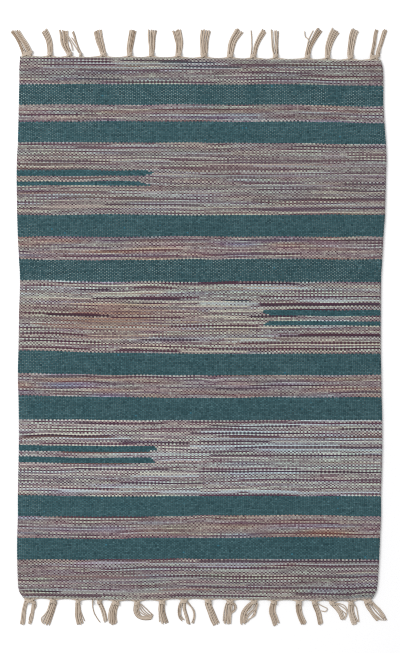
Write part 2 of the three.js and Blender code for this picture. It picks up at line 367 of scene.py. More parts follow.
# The share of the dark yarns and the pale ones in a pick, and how it differs over a warp and in a
# dip, where the yarns are more or less twisted
TWIST = 0.85
EDGE_TWIST = 0.12
EDGE_PICKS = 2.5
TWIST_SPREAD = 0.42
TWIST_STEPS = (2, 24)
TWIST_LIMITS = (0.35, 1.7)
NARROW_TWIST = 0.6
PALE_SHARE = 0.62
STREAKS = ((0.12, 40), (0.13, 12))
NEIGHBOUR_SHARE = 0.32
TONE_OVER = 0.09
TONE_IN_DIP = -0.31
CHANCE_OVER = 0.07
CHANCE_IN_DIP = 0.2
YARN_CHANGE = 0.16
DARK_MIDDLE = 0.6
DARK_STEPS = (1.5, 30)
PALE_MIDDLE = 0.5
PALE_STEPS = (1.5, 24)

yarn_colours = {name: np.array(colour, float) for name, colour in YARNS.items()}


def blend_of(names, place):
    """Colours along a line of yarns, for places from 0 to 1."""
    colours = np.array([yarn_colours[name] for name in names])
    spot = np.clip(place, 0, 1) * (len(names) - 1)
    low = np.minimum(spot.astype(int), len(names) - 2)
    share = (spot - low)[..., None]
    return colours[low] * (1 - share) + colours[low + 1] * share


def against_neighbours(streaks):
    """Sets each pick a little apart from the two beside it."""
    return streaks - NEIGHBOUR_SHARE * (np.roll(streaks, 1, axis=0) + np.roll(streaks, -1, axis=0))


# Two yarns, one dark and one pale, lie together in each mottled pick. Where they are twisted the
# pale one comes up over each warp and the dark one shows in the dips between.
over = (pick_number[:, None] + warp_number[None, :]) % 2 == 0
edge_picks = np.concatenate([band_starts, band_starts - 1])
from_edge = np.abs(pick_number[:, None] - edge_picks[None, :]).min(axis=1)
beside_edge = np.exp(-from_edge / EDGE_PICKS)[:, None]
twisted = TWIST + EDGE_TWIST * beside_edge + TWIST_SPREAD * soft_noise(*TWIST_STEPS)
twisted = np.clip(twisted, *TWIST_LIMITS)
twisted *= np.where(kinds == "mottled narrow", NARROW_TWIST, 1.0)[:, None]
tone = PALE_SHARE + against_neighbours(sum(size * soft_noise(1, step) for size, step in STREAKS))
tone += twisted * np.where(over, TONE_OVER, TONE_IN_DIP)
tone += np.where(over, CHANCE_OVER, CHANCE_IN_DIP) * draw.normal(size=(PICKS, WARPS))
tone = np.clip(tone, 0, 1)
dark = blend_of(DARK_YARNS, DARK_MIDDLE + YARN_CHANGE * soft_noise(*DARK_STEPS))
pale = blend_of(PALE_YARNS, PALE_MIDDLE + YARN_CHANGE * soft_noise(*PALE_STEPS))
weft = dark * (1 - tone[..., None]) + pale * tone[..., None]

# Long lengths of one colour that stand out: the row of the photograph, then the columns it runs
# between. They are read off and set into the nearest pick, and the picks beside it differ.
RUNS = {
    "plum": [
        (59, 40, 110), (65, 40, 115), (65, 230, 320), (70, 75, 160), (73, 240, 310), (77, 300, 384),
        (80, 245, 384), (83, 100, 215), (109, 150, 240), (115, 20, 60), (144, 20, 110), (147, 75, 160),
        (155, 345, 384), (160, 170, 384), (170, 160, 300), (174, 200, 384), (183, 240, 300), (192, 20, 110),
        (199, 110, 200), (201, 280, 384), (208, 240, 384), (210, 260, 330), (240, 100, 210), (248, 60, 110),
        (251, 100, 180), (254, 200, 300), (256, 60, 180), (282, 200, 240), (284, 160, 240), (288, 130, 175),
        (296, 260, 384), (298, 120, 200), (303, 235, 384), (309, 290, 340), (314, 20, 100), (317, 110, 185),
        (325, 170, 260), (333, 20, 90), (334, 300, 384), (341, 20, 100), (343, 240, 384), (348, 20, 90),
        (348, 200, 384), (351, 115, 200), (377, 80, 150), (382, 60, 110), (392, 330, 384), (422, 190, 290),
        (423, 290, 384), (429, 140, 250), (435, 20, 90), (435, 215, 280), (438, 215, 300), (444, 40, 130),
        (446, 20, 90), (452, 190, 250), (462, 20, 80), (469, 200, 300), (472, 300, 384), (480, 240, 384),
        (489, 60, 110), (495, 200, 300), (517, 60, 150), (523, 220, 340), (533, 250, 384), (560, 100, 180),
        (566, 280, 384), (568, 105, 290), (576, 170, 384), (577, 60, 150), (588, 190, 384), (591, 20, 90),
        (594, 300, 384), (595, 20, 100), (595, 170, 270),
    ],
    "aubergine": [
        (61, 120, 190), (148, 290, 384), (162, 35, 125), (176, 60, 110), (184, 300, 384), (190, 255, 320),
        (191, 335, 384), (199, 250, 384), (205, 105, 200), (240, 240, 384), (283, 240, 300), (290, 75, 110),
        (299, 90, 180), (305, 260, 384), (315, 45, 110), (316, 240, 300), (335, 280, 384), (340, 140, 200),
        (376, 45, 90), (386, 250, 320), (389, 215, 270), (424, 75, 165), (426, 210, 300), (429, 340, 384),
        (433, 190, 300), (436, 25, 110), (442, 200, 310), (443, 120, 190), (447, 235, 384), (455, 210, 384),
        (469, 75, 170), (471, 200, 384), (483, 120, 205), (561, 200, 384), (592, 30, 200),
    ],
    "brown": [
        (66, 290, 384), (164, 20, 75), (178, 60, 110), (198, 60, 150), (437, 20, 110), (437, 230, 384),
        (453, 60, 150), (464, 60, 130),
    ],
    "rust": [
        (66, 75, 140), (193, 20, 100), (294, 85, 160), (313, 70, 150), (319, 80, 150), (321, 60, 150),
        (324, 30, 100), (326, 100, 170), (589, 160, 215),
    ],
    "slate": [(62, 140, 215), (67, 180, 240), (79, 75, 120), (170, 20, 90), (300, 225, 250)],
    "cream": [
        (63, 110, 160), (144, 155, 200), (150, 30, 150), (157, 110, 215), (160, 90, 165), (165, 200, 310),
        (175, 145, 200), (185, 290, 340), (186, 60, 110), (190, 70, 150), (193, 310, 384), (200, 50, 150),
        (206, 30, 105), (206, 250, 384), (207, 40, 240), (213, 280, 384), (249, 50, 190), (286, 90, 150),
        (292, 100, 165), (295, 90, 140), (298, 20, 90), (302, 165, 235), (307, 180, 250), (311, 210, 270),
        (317, 200, 250), (319, 225, 260), (327, 215, 300), (339, 225, 270), (344, 270, 384),
        (347, 120, 170), (352, 180, 250), (434, 30, 100), (441, 270, 384), (448, 160, 200), (457, 210, 260),
        (467, 60, 150), (474, 20, 60), (474, 140, 200), (489, 200, 260), (573, 340, 384), (584, 180, 250),
    ],
    "ice": [
        (64, 75, 180), (67, 40, 180), (69, 180, 240), (113, 300, 330), (116, 150, 260), (146, 105, 150),
        (151, 60, 170), (154, 160, 230), (161, 110, 170), (166, 250, 384), (173, 240, 330), (176, 150, 240),
        (186, 240, 330), (192, 110, 220), (204, 130, 230), (288, 245, 310), (301, 300, 384),
        (304, 200, 260), (340, 240, 280), (421, 300, 384), (424, 240, 330), (432, 200, 290), (438, 60, 130),
        (439, 200, 300), (439, 330, 384), (445, 190, 340), (449, 260, 384), (454, 110, 210),
        (460, 160, 200), (473, 230, 300), (476, 130, 200), (487, 100, 150), (490, 20, 100), (490, 220, 300),
        (491, 60, 200), (492, 160, 240), (492, 250, 384), (529, 20, 160), (532, 120, 170), (564, 150, 290),
        (565, 300, 384), (569, 90, 170),
    ],
    "lavender": [(176, 240, 384), (559, 225, 370), (562, 75, 150), (567, 200, 250)],
    "green grey": [(571, 215, 280), (579, 100, 200), (593, 60, 200), (594, 200, 300)],
    "tan": [
        (112, 100, 260), (164, 220, 330), (287, 240, 300), (290, 200, 300), (304, 70, 170), (305, 60, 160),
        (311, 100, 200), (318, 50, 130), (322, 85, 200), (328, 50, 150), (329, 80, 180), (331, 115, 250),
        (336, 85, 150), (338, 60, 150), (379, 30, 150), (576, 45, 150),
    ],
    "pink tan": [
        (421, 60, 150), (425, 60, 150), (435, 140, 215), (464, 300, 384), (465, 20, 90), (531, 20, 110),
    ],
}
FAINT_YARNS = ("tan", "pink tan", "rust")
FAINT_SHARE = 0.55
RUN_FADE = 9 * MM
RUN_CONTRAST = 0.3
DARK_BELOW = 120

run_picks = set()
for yarn, runs in RUNS.items():
    for row, first, last in runs:
        middle = np.argmin(np.abs(straight_x - cloth_x((first + last) / 2)))
        pick = np.argmin(np.abs(pick_y[:, middle] - cloth_y(row)))
        inside = np.minimum(straight_x - cloth_x(first), cloth_x(last) - straight_x) / RUN_FADE
        plainly = MOTTLES[kinds[pick]][4] if kinds[pick] in MOTTLES else 0
        if yarn in FAINT_YARNS:
            plainly *= FAINT_SHARE
        share = (np.clip(0.5 + inside, 0, 1) * plainly)[:, None]
        weft[pick] = weft[pick] * (1 - share) + yarn_colours[yarn] * share
        other = pale if yarn_colours[yarn][1] < DARK_BELOW else dark
        for beside in (pick - 1, pick + 1):
            if 0 <= beside < PICKS and beside not in run_picks:
                weft[beside] += (other[beside] - weft[beside]) * share * RUN_CONTRAST
        run_picks.add(pick)

# Where the dye of the mottled wefts leans warmer or cooler: column, row, half width and half height
# in the photograph, then the shares of red, green and blue
DYE_ZONES = [
    (112, 316, 64, 14, (0.96, 0.89, 0.86)),
    (190, 290, 190, 12, (1.0, 1.05, 1.06)),
    (200, 113, 220, 9, (0.975, 1.02, 1.02)),
    (60, 70, 60, 14, (0.975, 0.965, 0.975)),
    (300, 318, 90, 30, (0.98, 1.0, 1.0)),
    (290, 455, 110, 40, (0.97, 1.01, 1.02)),
    (70, 565, 60, 22, (1.03, 0.99, 0.98)),
]
for column, row, half_width, half_height, tint in DYE_ZONES:
    off_x = (straight_x[None, :] - cloth_x(column)) / (half_width * PIXEL)
    off_y = (pick_y - cloth_y(row)) / (half_height * PIXEL)
    share = np.exp(-(off_x**2) - off_y**2)[..., None]
    weft *= 1 + (np.array(tint) - 1) * share

PINK_HUE = (1.0, -1.0, 0.3)
PINK_STEPS = (2.5, 12)
TAN_HUE = (1.0, 0.1, -1.0)
TAN_STEPS = (2.5, 24)
hue_pink = soft_noise(*PINK_STEPS)[..., None] * np.array(PINK_HUE)
hue_tan = soft_noise(*TAN_STEPS)[..., None] * np.array(TAN_HUE)

# How light each teal band is, and how much of its warp peeps out where it is loosely beaten. Most
# shows in a band's looser patches and at its sides.
TEALS = [
    (0.95, 0.38), (0.98, 0.18), (0.96, 0.13), (0.93, 0.36),
    (0.97, 0.12), (0.97, 0.09), (0.99, 0.09), (0.98, 0.05),
]
# Painted shade and light: a teal pick is painted darker in its dips and lighter over each warp, less so in
# bands where much warp peeps
TEAL_DIP_PAINTED_SHADE = 5
TEAL_CHANCE = 7.5
TEAL_STREAK = 2.5
TEAL_STREAK_STEPS = (1, 20)
NO_DIP_SHADE_FROM = 1 / 3
BAR_CHANCE = 8
PATCHES = 0.72
PATCH_SPREAD = 0.3
PATCH_STEPS = (9, 9)
MOST_SHOWN = 0.75
LEFT_SHOWS = (0.14, 0.12)
RIGHT_SHOWS = (0.06, 0.08)
MIDDLE_TONE = 128

warp_shows = np.zeros((PICKS, WARPS))
patches = PATCHES + PATCH_SPREAD * soft_noise(*PATCH_STEPS)
patches = patches + PATCH_SPREAD * draw.normal(size=(PICKS, WARPS))
sides = LEFT_SHOWS[0] * np.exp(-warp_share / LEFT_SHOWS[1])
sides = sides + RIGHT_SHOWS[0] * np.exp((warp_share - 1) / RIGHT_SHOWS[1])
teals = iter(TEALS)
for index, (count, kind, _) in enumerate(BANDS):
    rows = slice(band_starts[index], band_starts[index + 1])
    if kind == "teal":
        depth, peeping = next(teals)
        painted_dip_shade = TEAL_DIP_PAINTED_SHADE * max(0, 1 - peeping / NO_DIP_SHADE_FROM)
        step = TEAL_CHANCE * draw.normal(size=(count, WARPS))
        step += TEAL_STREAK * soft_noise(*TEAL_STREAK_STEPS)[rows]
        # Painted light over each warp and painted shade in each dip
        step += np.where(over[rows], painted_dip_shade / 2, -painted_dip_shade)
        warp_shows[rows] = np.clip((peeping + sides) * patches[rows], 0, MOST_SHOWN)
        weft[rows] = yarn_colours["teal"] * depth + step[..., None]
    else:
        lift, contrast, pink, tan, _, tint = MOTTLES[kind]
        evened = MIDDLE_TONE + (weft[rows] - MIDDLE_TONE) * contrast + lift
        weft[rows] = evened * np.array(tint) + (pink * hue_pink[rows] + tan * hue_tan[rows])
for first_pick, turn_columns, side in BARS:
    for offset, column in enumerate(turn_columns):
        turn_x = cloth_x(column)
        inside = straight_x < turn_x if side == "left" else straight_x > turn_x
        step = BAR_CHANCE * draw.normal(size=(WARPS, 1))
        weft[first_pick + offset][inside] = (yarn_colours["teal"] + step)[inside]

# The outermost pick is mostly a length of the cream warp yarn
END_PICK = (182, 176, 164)
END_SHARE = 0.75
for pick in (0, PICKS - 1):
    weft[pick] = weft[pick] * (1 - END_SHARE) + np.array(END_PICK) * END_SHARE

# Bright flecks are spun into the teal yarn here and there
FLECKS = 45
FLECK_SHARE = 0.5
flecked = draw.choice(np.flatnonzero(kinds == "teal"), FLECKS), draw.integers(0, WARPS, FLECKS)
weft[flecked] = weft[flecked] * (1 - FLECK_SHARE) + yarn_colours["bright fleck"] * FLECK_SHARE


def linear(colour):
    """Light shares of a colour given on the 0 to 255 scale of a screen."""
    share = np.clip(np.asarray(colour, float) / 255, 0, 1)
    return np.where(share <= 0.04045, share / 12.92, ((share + 0.055) / 1.055) ** 2.4)


weft_light = linear(weft)

# Field: the woven surface
# Each pick stands up where it crosses over a warp and dips between, so the top is a lattice of
# grains. The edges turn down over the outermost warps, and a plainer underside closes the cloth.
CLOTH_TOP = 3.75 * MM
RELIEF = 0.4 * MM
RIPPLE = 0.16 * MM
RIPPLE_STEPS = (17, 13)
LOOP = 0.175 * MM
RING_HEIGHTS = (3.0 * MM, 1.9 * MM, 0.35 * MM)
RING_SHARES = (0.75, 1.0, 0.45)
UNDERSIDE = 0.12 * MM
UNDER_RIPPLE = 0.6
UNDER_PICK_STEP = 3
UNDER_WARP_STEP = 2

top_z = CLOTH_TOP + np.where(over, RELIEF, -RELIEF)
top_z = top_z + RIPPLE * soft_noise(*RIPPLE_STEPS)
top_grid = np.stack([pick_x, pick_y, top_z], -1)

rim = [(0, i) for i in range(WARPS)]
rim += [(j, WARPS - 1) for j in range(1, PICKS)]
rim += [(PICKS - 1, i) for i in range(WARPS - 2, -1, -1)]
rim += [(j, 0) for j in range(PICKS - 2, 0, -1)]
rim_count = len(rim)
rim_picks, rim_warps = np.array(rim).T
rim_inner = top_grid[rim_picks, rim_warps]
rim_outer = rim_inner.copy()
loops = LOOP * np.cos(np.pi * rim_picks)
outwards = np.zeros((rim_count, 2))
for sign, last_warp, last_pick in ((-1, 0, PICKS - 1), (1, WARPS - 1, 0)):
    at_side = rim_warps == last_warp
    at_end = rim_picks == last_pick
    rim_outer[at_side, 0] = side_at(sign, rim_inner[at_side, 1]) + sign * loops[at_side]
    rim_outer[at_end, 1] = end_at(sign, rim_inner[at_end, 0])
    outwards[at_side, 0] = sign
    outwards[at_end, 1] = -sign
rings = []
for height, share in zip(RING_HEIGHTS, RING_SHARES):
    ring = rim_inner + (rim_outer - rim_inner) * share
    ring[:, 2] = height
    rings.append(ring)

under_picks = [*range(0, PICKS - 1, UNDER_PICK_STEP), PICKS - 1]
under_warps = [*range(0, WARPS, UNDER_WARP_STEP)]
inner_picks = under_picks[1:-1]
inner_warps = under_warps[1:-1]
inner = np.ix_(inner_picks, inner_warps)
under_noise = draw.normal(size=(len(inner_picks), len(inner_warps))).clip(-1, 1)
under_z = UNDERSIDE + UNDERSIDE * UNDER_RIPPLE * under_noise
under_grid = np.stack([pick_x[inner], pick_y[inner], under_z], -1)
places = np.vstack([top_grid.reshape(-1, 3), *rings, under_grid.reshape(-1, 3)])
places[:, :2] += RUG_SHIFT

ring_start = [PICKS * WARPS + rim_count * k for k in range(4)]
rim_index = {place: k for k, place in enumerate(rim)}


def top_vertex(j, i):
    return j * WARPS + i


def under_vertex(j, i):
    """The underside's vertex below a crossing: on the last ring at the rim, or on its own grid."""
    if (j, i) in rim_index:
        return ring_start[2] + rim_index[(j, i)]
    return ring_start[3] + inner_picks.index(j) * len(inner_warps) + inner_warps.index(i)


# Each face is listed with its own pick and warp, and then the pick and warp of the grain beside it
faces = []
crossings = []
for j in range(PICKS - 1):
    for i in range(WARPS - 1):
        near_left, near_right = top_vertex(j + 1, i), top_vertex(j + 1, i + 1)
        far_left, far_right = top_vertex(j, i), top_vertex(j, i + 1)
        if (i + j) % 2 == 0:
            faces += [(far_left, near_left, far_right), (near_right, far_right, near_left)]
            crossings += [(j, i, j + 1, i + 1), (j + 1, i + 1, j, i)]
        else:
            faces += [(far_right, far_left, near_right), (near_left, near_right, far_left)]
            crossings += [(j, i + 1, j + 1, i), (j + 1, i, j, i + 1)]
levels = [[top_vertex(j, i) for j, i in rim]]
levels += [[*range(start, start + rim_count)] for start in ring_start[:3]]
for upper, lower in zip(levels[:-1], levels[1:]):
    for k, place in enumerate(rim):
        after = (k + 1) % rim_count
        faces += [(upper[k], upper[after], lower[k]), (lower[after], lower[k], upper[after])]
        crossings += [place * 2] * 2
under_from = len(faces)
for j, next_j in zip(under_picks[:-1], under_picks[1:]):
    for i, next_i in zip(under_warps[:-1], under_warps[1:]):
        loop = [(j, i)]
        loop += [(j, between) for between in range(i + 1, next_i) if j == 0]
        loop += [(j, next_i)]
        loop += [(between, next_i) for between in range(j + 1, next_j) if next_i == WARPS - 1]
        loop += [(next_j, next_i)]
        loop += [(next_j, between) for between in range(next_i - 1, i, -1) if next_j == PICKS - 1]
        loop += [(next_j, i)]
        loop += [(between, i) for between in range(next_j - 1, j, -1) if i == 0]
        faces.append(tuple(under_vertex(*place) for place in loop))
        crossings.append((j + 1, i, j + 1, i))

cloth_mesh = bpy.data.meshes.new("woven_cloth")
cloth_mesh.from_pydata(places, [], faces, shade_flat=False)

# Each face shows its own pick where that passes over a warp, then the same pick in the dip beside
# it, and past that pick's edge the pick that dips next to it. The last values are how much of the
# warp shows in those two dips.
own_pick, own_warp, next_pick, next_warp = np.array(crossings).T
peeps = [warp_shows[own_pick, next_warp], warp_shows[next_pick, own_warp], np.zeros(len(faces))]
shown = {
    "weft over": weft_light[own_pick, own_warp],
    "weft dip": weft_light[own_pick, next_warp],
    "weft beside": weft_light[next_pick, own_warp],
    "warp shows": np.stack(peeps, -1),
}
for name, values in shown.items():
    attribute = cloth_mesh.attributes.new(name, "FLOAT_COLOR", "FACE")
    opaque = np.hstack([values, np.ones((len(faces), 1))])
    attribute.data.foreach_set("color", opaque.astype(np.float32).ravel())

# One map counts warps and picks for the weave, and the other spreads the cloth flat
RING_COUNTS = (0.4, 0.8, 1.2)
MAP_MARGIN = 1.5
TOP_SHARE = 0.68
UNDER_START = 0.71
UNDER_SHARE = 0.28


def counted(warps, picks):
    return np.stack(np.meshgrid(warps, picks), -1).reshape(-1, 2)


def add_map(mesh, name, values):
    layer = mesh.uv_layers.new(name=name)
    layer.uv.foreach_set("vector", values.astype(np.float32).ravel())


rim_counts = np.stack([rim_warps, rim_picks], -1)
ring_counts = [rim_counts + outwards * reach for reach in RING_COUNTS]
under_counts = counted(inner_warps, inner_picks)
weave_map = np.vstack([counted(warp_number, pick_number), *ring_counts, under_counts]).astype(float)
flat = (weave_map + MAP_MARGIN) / (np.array([WARPS - 1, PICKS - 1]) + 2 * MAP_MARGIN)
top_map = np.stack([flat[:, 0] * TOP_SHARE, 1 - flat[:, 1]], -1)
under_height = UNDER_SHARE * CLOTH_LENGTH / CLOTH_WIDTH
under_map = np.stack([UNDER_START + flat[:, 0] * UNDER_SHARE, flat[:, 1] * under_height], -1)
corners = np.concatenate(faces)
is_under = np.arange(len(corners)) >= sum(len(face) for face in faces[:under_from])
add_map(cloth_mesh, "Weave", weave_map[corners])
add_map(cloth_mesh, "OFBake", np.where(is_under[:, None], under_map[corners], top_map[corners]))
cloth_mesh.uv_layers["OFBake"].active = True
cloth_mesh.uv_layers["OFBake"].active_render = True
cloth_mesh.validate()
cloth = add_object("kilim_cloth_woven", cloth_mesh)


def put(socket, value):
    """Feeds a socket from another node's output, or sets it to a number or colour."""
    if isinstance(value, bpy.types.NodeSocket):
        socket.id_data.links.new(value, socket)
    else:
        socket.default_value = value


def add_node(tree, kind, inputs, **settings):
    """Adds a node with its settings and inputs, and gives back its outputs."""
    made = tree.nodes.new(kind)
    for name, value in settings.items():
        setattr(made, name, value)
    for name, value in inputs.items():
        put(made.inputs[name], value)
    return made.outputs


def maths(operation, *values):
    tree = next(value.id_data for value in values if isinstance(value, bpy.types.NodeSocket))
    return add_node(tree, "ShaderNodeMath", dict(enumerate(values)), operation=operation)["Value"]


plus, minus, times, times_plus = (
    functools.partial(maths, operation) for operation in ("ADD", "SUBTRACT", "MULTIPLY", "MULTIPLY_ADD")
)


def ramp(value, low, high, at_low, at_high):
    """A soft step from one value to another as its input passes from low to high."""
    inputs = {"Value": value, "From Min": low, "From Max": high, "To Min": at_low, "To Max": at_high}
    return add_node(value.id_data, "ShaderNodeMapRange", inputs, interpolation_type="SMOOTHSTEP")["Result"]


def mixed(share, first, second):
    """A colour between two others, the second where the share is 1.

    The node's colours are its seventh and eighth inputs, and its third output.
    """
    return add_node(share.id_data, "ShaderNodeMix", {0: share, 6: first, 7: second}, data_type="RGBA")[2]


def joined(x, y, z):
    return add_node(x.id_data, "ShaderNodeCombineXYZ", {"X": x, "Y": y, "Z": z})["Vector"]


def split(vector):
    return add_node(vector.id_data, "ShaderNodeSeparateXYZ", {"Vector": vector})


def new_group(name, usual, results):
    """A shader node group of number sockets: its inputs with their usual values, and its outputs."""
    group = bpy.data.node_groups.new(name, "ShaderNodeTree")
    number = {"socket_type": "NodeSocketFloat"}
    for socket, value in usual.items():
        group.interface.new_socket(name=socket, in_out="INPUT", **number).default_value = value
    for socket in results:
        group.interface.new_socket(name=socket, in_out="OUTPUT", **number)
    return group, group.nodes.new("NodeGroupInput").outputs, group.nodes.new("NodeGroupOutput").inputs


def use_group(tree, group, **inputs):
    return add_node(tree, "ShaderNodeGroup", inputs, node_tree=group)


# The plies of a twisted yarn show as slanted ridges. Along and Around are lengths in millimetres
ply_group, given, result = new_group(
    "yarn plies",
    {"Along": 0.0, "Around": 0.0, "Pitch": 1.0, "Slant": 0.8, "Phase": 0.0},
    ("Height", "Groove"),
)
turned = maths("DIVIDE", times_plus(given["Around"], given["Slant"], given["Along"]), given["Pitch"])
wave = maths("SINE", times(plus(turned, given["Phase"]), 2 * math.pi))
raised = times_plus(wave, 0.5, 0.5)
put(result["Height"], maths("POWER", raised, 0.6))
put(result["Groove"], ramp(raised, 0.0, 0.45, 1.0, 0.0))

# Loose cotton fibres lie along the yarn and catch light and shade
FIBRE_ALONG = 0.9
FIBRE_AROUND = 5.0
fibre_group, given, result = new_group(
    "cotton fibres", {"Along": 0.0, "Around": 0.0, "Seed": 0.0}, ("Shade", "Height")
)
along, around = times(given["Along"], FIBRE_ALONG), times(given["Around"], FIBRE_AROUND)
fibre_noise = {"Vector": joined(along, around, given["Seed"]), "Scale": 1.0, "Detail": 3.0}
fibres = add_node(fibre_group, "ShaderNodeTexNoise", fibre_noise)["Fac"]
put(result["Shade"], ramp(fibres, 0.3, 0.7, 0.86, 1.1))
put(result["Height"], fibres)

# The weft's grains: Weave counts warps and picks, and each grain is one pick over one warp
WARP_PITCH_MM = 3.05
PICK_PITCH_MM = 2.29
WEFT_PLY_PITCH = 1.15
PLY_SLANT = 0.9
PICK_WAVE = 0.15
PLY_LEAN = -0.2
DIP_START = 0.6
# Painted shade: how far the weft's colour is darkened at a pick's edge, in its dips, in its ply grooves and
# between the warps
PICK_EDGE_SHADE = 0.72
DIP_SHADE = 0.86
GROOVE_SHADE = -0.14
RIB_SHADE = 0.07
GAP_RADIUS = 0.36
cloth_material, tree, shader = new_material("woven cotton wefts")
counts = split(add_node(tree, "ShaderNodeUVMap", {}, uv_map="Weave")["UV"])
warps_on, picks_on = counts["X"], counts["Y"]
rising = maths("ROUND", times(plus(warps_on, picks_on), 0.5))
falling = maths("ROUND", times(minus(warps_on, picks_on), 0.5))
off_warp = minus(warps_on, plus(rising, falling))
off_pick = minus(picks_on, minus(rising, falling))
# A pick is broad where it passes over a warp and pinched between, so its edge is a soft wave
aside = maths("ABSOLUTE", off_warp)
ahead = maths("ABSOLUTE", off_pick)
wave = maths("COSINE", times(aside, math.pi))
half_breadth = times_plus(wave, PICK_WAVE, 0.5)
beside = maths("GREATER_THAN", ahead, half_breadth)
own_place = maths("DIVIDE", ahead, half_breadth)
other_place = maths("DIVIDE", minus(1.0, ahead), minus(1.0, half_breadth))
from_middle = maths("MINIMUM", own_place, other_place)
over_warp = times_plus(wave, times_plus(beside, -0.5, 0.25), 0.7)
rounding = maths("SQRT", minus(1.0, times(from_middle, from_middle)))
grain = times(rounding, over_warp)
# Painted shade: the colour darkens towards each pick's edge, where it meets the next pick, and in the dips
# where it passes under a warp
edge_shade = ramp(from_middle, 0.5, 1.0, 1.0, PICK_EDGE_SHADE)
edge_shade = times(edge_shade, ramp(over_warp, 0.45, 0.95, DIP_SHADE, 1.0))

grain_place = {"Vector": joined(rising, falling, 0.0)}
chance = add_node(tree, "ShaderNodeTexWhiteNoise", grain_place, noise_dimensions="2D")["Value"]
along = times(warps_on, WARP_PITCH_MM)
around = times(off_pick, PICK_PITCH_MM)
plies = use_group(
    tree, ply_group, Along=along, Around=around, Pitch=WEFT_PLY_PITCH, Slant=PLY_SLANT, Phase=chance
)
fibre = use_group(tree, fibre_group, Along=along, Around=times(picks_on, PICK_PITCH_MM), Seed=chance)

colour_over, colour_dip, colour_beside, shows = (
    add_node(tree, "ShaderNodeAttribute", {}, attribute_name=name)["Color"] for name in shown
)
leaning = maths("ABSOLUTE", times_plus(off_pick, PLY_LEAN, off_warp))
in_dip = maths("GREATER_THAN", leaning, DIP_START)
weft_colour = mixed(beside, mixed(in_dip, colour_over, colour_dip), colour_beside)


def round_gap(across, lengthways):
    """A soft round spot where both distances from its middle, in warps and in picks, are small."""
    square = times_plus(lengthways, lengthways, times(across, across))
    return ramp(square, 0.6 * GAP_RADIUS**2, 1.4 * GAP_RADIUS**2, 1.0, 0.0)


# A warp shows in a round gap over the dip at either side, and over the dips above and below
shows = split(shows)
side_share = times(round_gap(minus(1.0, aside), ahead), shows["X"])
gap_share = times_plus(round_gap(aside, minus(1.0, ahead)), shows["Y"], side_share)
weft_colour = mixed(gap_share, weft_colour, (*linear(yarn_colours["bare warp"]), 1.0))
# Painted shade in the ply grooves and between the warps, and the fibres' painted light and shade, scale the
# weft's colour
rib_wave = maths("COSINE", times(aside, 2 * math.pi))
shade = times(edge_shade, times_plus(plies["Groove"], GROOVE_SHADE, 1.0))
shade = times(times(shade, fibre["Shade"]), times_plus(rib_wave, RIB_SHADE, 1.0))
relief = times_plus(fibre["Height"], 0.12, times_plus(plies["Height"], 0.16, grain))


def finish_cotton(tree, shader, colour, shade, bump, finish):
    """Gives a cotton yarn painted light and shade, relief, and a dull and faintly downy finish."""
    shaded = {"Vector": colour, "Scale": shade}
    shaded = add_node(tree, "ShaderNodeVectorMath", shaded, operation="SCALE")
    put(shader.inputs["Base Color"], shaded["Vector"])
    put(shader.inputs["Normal"], add_node(tree, "ShaderNodeBump", bump)["Normal"])
    set_inputs(shader, {"Specular IOR Level": 0.2, **finish})


finish_cotton(
    tree,
    shader,
    weft_colour,
    shade,
    {"Height": relief, "Strength": 0.8, "Distance": 0.52 * MM},
    {"Roughness": 0.92, "Sheen Weight": 0.12, "Sheen Roughness": 0.6},
)
cloth_mesh.materials.append(cloth_material)


def stand_for(piece, node):
    """Hides the solid that a piece stands for, and lets the piece rest with the rug."""
    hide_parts(node)
    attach(piece, "root")


stand_for(cloth, "field")

# Headings
# Past the last pick the bare cotton warps run sideways along the cloth's end, each towards the knot
# that gathers it. They lie over one another there and show as a narrow cream line.
WARP_RADIUS = 0.78 * MM
PLY_DEPTH = 0.045
PLY_PITCH = 4.2 * MM
RING_STEP = 1.0 * MM
YARN_SIDES = 8
CUT_END = 0.55
TUCKED_END = 0.5
FLOOR_GAP = 0.02 * MM
KNOT_LENGTH = 5.2 * MM
KNOT_MARGIN = 0.35 * MM
KNOT_MIDDLE = 2.65 * MM
HEADING_OUT = 1.6 * MM
STRAND_PITCH = 1.75 * MM

# Bunches of warp ends, with a row for each leg: its root across the rug, its width there, its bend
# and its tip, each a place across and a distance outwards, and its width at the tip, in mm
FAR_BUNCHES = {
    "tassel_01": [(-291, 5.6, (-297, 24), (-311, 45), 5.6), (-279, 7, (-287, 24), (-301, 46.5), 7)],
    "tassel_02": [(-247, 8, (-248, 25), (-257, 47), 11)],
    "tassel_03": [(-215, 9, (-223, 24), (-225, 46.5), 17)],
    "stray": [(-197, 4, (-203, 24), (-211, 44.5), 4.4)],
    "tassel_04": [(-159, 10, (-165, 25), (-169, 46.5), 15)],
    "tassel_05": [(-116, 8, (-115, 25), (-110, 47), 11.5)],
    "tassel_06": [(-80, 8, (-80, 27), (-79, 47), 16)],
    "tassel_07": [(-36, 10, (-35, 27), (-39, 47), 17)],
    "tassel_08": [(6, 10, (7, 27), (9, 47), 16)],
    "tassel_09": [(49, 10, (53, 25), (65, 46.5), 16)],
    "tassel_10": [(83, 1.8, (85, 28), (83, 45.5), 1.8), (88, 7, (94, 25), (105.5, 46.5), 10)],
    "tassel_11": [(121.5, 3.6, (118, 25), (117, 47), 4.4), (126, 3.6, (126, 25), (126, 46.5), 4.6)],
    "tassel_12": [(172.5, 1.8, (177, 25), (186, 46.5), 3.2), (177.5, 6.6, (184, 25), (198, 46.5), 10.6)],
    "tassel_13": [(209, 7.6, (213, 27), (223, 46.5), 16)],
    "tassel_14": [(247, 9, (249, 27), (256, 47), 13)],
    "tassel_15": [(281.5, 6.6, (286, 27), (290, 47), 6.6), (291, 6.6, (296, 23), (304.5, 47), 7.6)],
}
